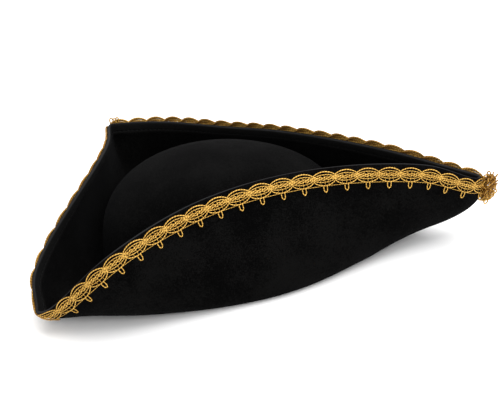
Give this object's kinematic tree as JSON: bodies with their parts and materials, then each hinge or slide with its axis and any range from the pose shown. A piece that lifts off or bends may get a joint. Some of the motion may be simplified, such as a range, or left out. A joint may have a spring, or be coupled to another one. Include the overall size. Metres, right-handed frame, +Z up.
{
  "type": "tricorn hat",
  "caption": "Black felt tricorn hat: a rounded crown with an open head hollow, a brim turned up in flaps to three corners, and scalloped gold braid along its edges",
  "frame": {"origin": "middle of the whole hat in plan, at the height of the surface that it lies on", "axes": "+X points to the front corner, +Y to the wearer's left, +Z up through the crown"},
  "size_m": [0.3668, 0.238, 0.0865],
  "materials": {
    "felt": "matt black wool felt",
    "gold_braid": "gold metallic gimp braid with a soft sheen"
  },
  "bodies": {
    "root": {"felt_body": "felt", "braid_right": "gold_braid", "braid_rear": "gold_braid", "braid_left": "gold_braid", "front_gather": "gold_braid"}
  },
  "joints": []
}
